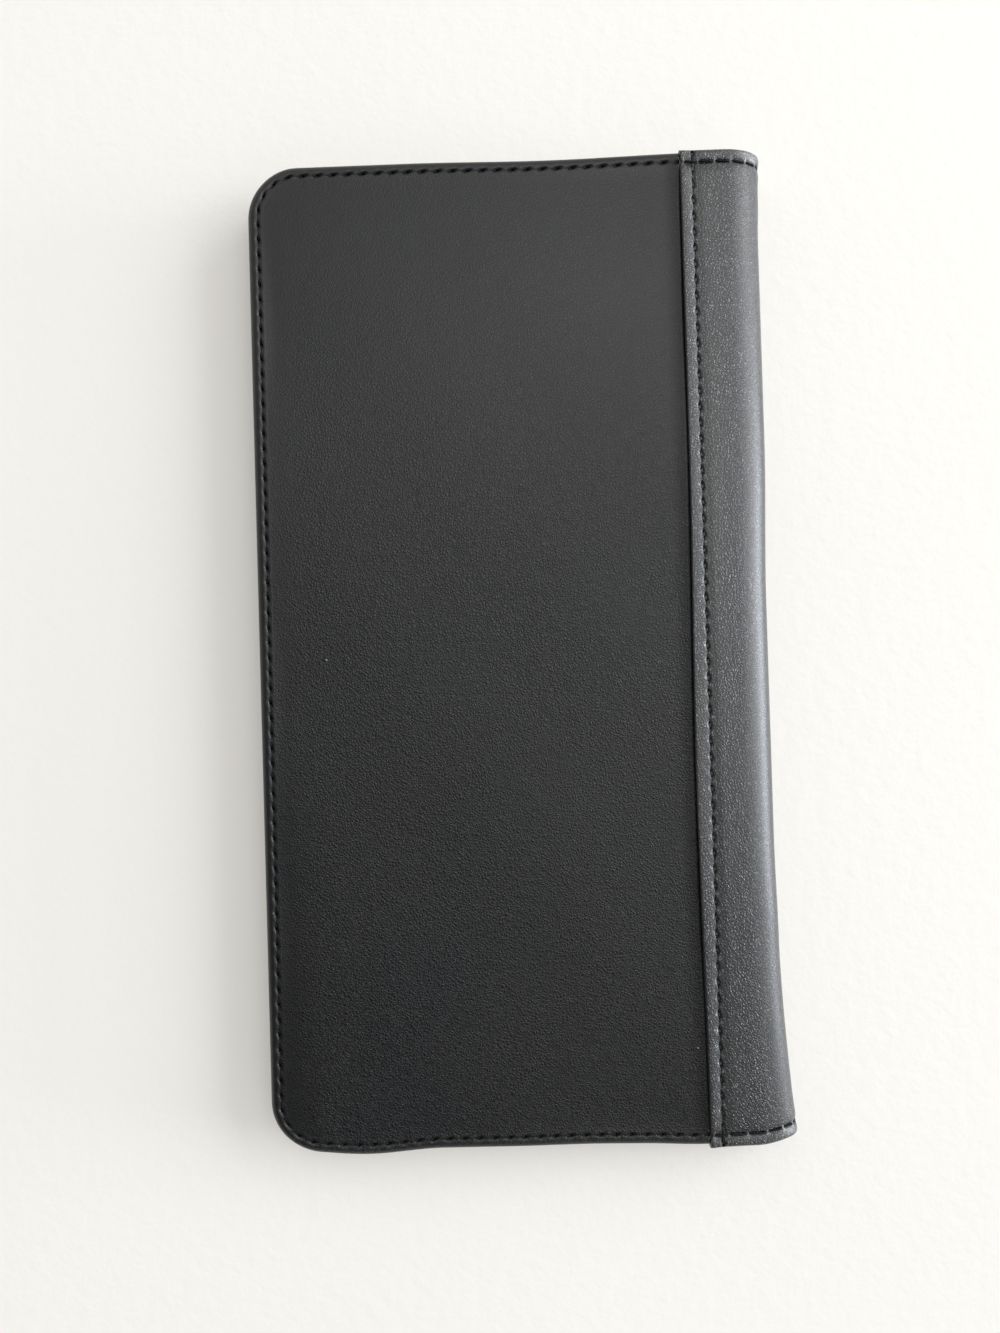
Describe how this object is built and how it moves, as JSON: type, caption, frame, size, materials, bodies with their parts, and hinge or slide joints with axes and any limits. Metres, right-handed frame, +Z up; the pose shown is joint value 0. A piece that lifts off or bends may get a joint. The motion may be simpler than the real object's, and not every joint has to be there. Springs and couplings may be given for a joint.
{
  "type": "travel wallet",
  "caption": "Long black leather travel wallet that opens like a book about a soft spine, with card slots, long document pockets and a framed identity window inside.",
  "frame": {"origin": "centre of the closed wallet's footprint, on the surface that it lies on", "axes": "+Z up out of the front cover, +Y along the wallet's length, +X towards the spine"},
  "size_m": [0.12, 0.23, 0.0128],
  "materials": {
    "shell_leather": "smooth satin black bonded leather with a fine grain",
    "pocket_leather": "thin black leather, slightly duller than the shell",
    "lining_cloth": "fine plain-woven black lining, matt",
    "stiffening_board": "grey pressed board, hidden",
    "sewing_thread": "black twisted polyester thread, slight sheen",
    "clear_film": "clear flexible film"
  },
  "bodies": {
    "back_cover": {"back_cover_leather": "shell_leather", "back_board": "stiffening_board", "back_lining": "lining_cloth", "spine_back_lap": "shell_leather", "back_edge_thread": "sewing_thread", "back_seam_thread": "sewing_thread", "ticket_pocket": "pocket_leather", "card_slot_1": "pocket_leather", "card_slot_2": "pocket_leather", "card_slot_3": "pocket_leather", "card_slot_4": "pocket_leather", "passport_pocket": "pocket_leather"},
    "spine": {"spine_bend": "shell_leather", "spine_lining": "lining_cloth", "spine_top_thread": "sewing_thread", "spine_bottom_thread": "sewing_thread"},
    "front_cover": {"front_cover_leather": "shell_leather", "front_board": "stiffening_board", "front_lining": "lining_cloth", "spine_front_lap": "shell_leather", "front_edge_thread": "sewing_thread", "front_seam_thread": "sewing_thread", "document_pocket": "pocket_leather", "boarding_pass_pocket": "pocket_leather", "id_window_film": "clear_film", "id_window_frame": "pocket_leather"}
  },
  "joints": [
    {"name": "spine_fold", "type": "hinge", "parent": "back_cover", "child": "spine", "pos_m": [0.05842, 0, 0.00295], "axis": [0, 1, 0], "range_deg": [0, 90]},
    {"name": "cover_fold", "type": "hinge", "parent": "spine", "child": "front_cover", "pos_m": [0.05842, 0, 0.00985], "axis": [0, 1, 0], "range_deg": [0, 90]}
  ],
  "couplings": [
    {"joint": "cover_fold", "follows": "spine_fold", "ratio": 1}
  ]
}
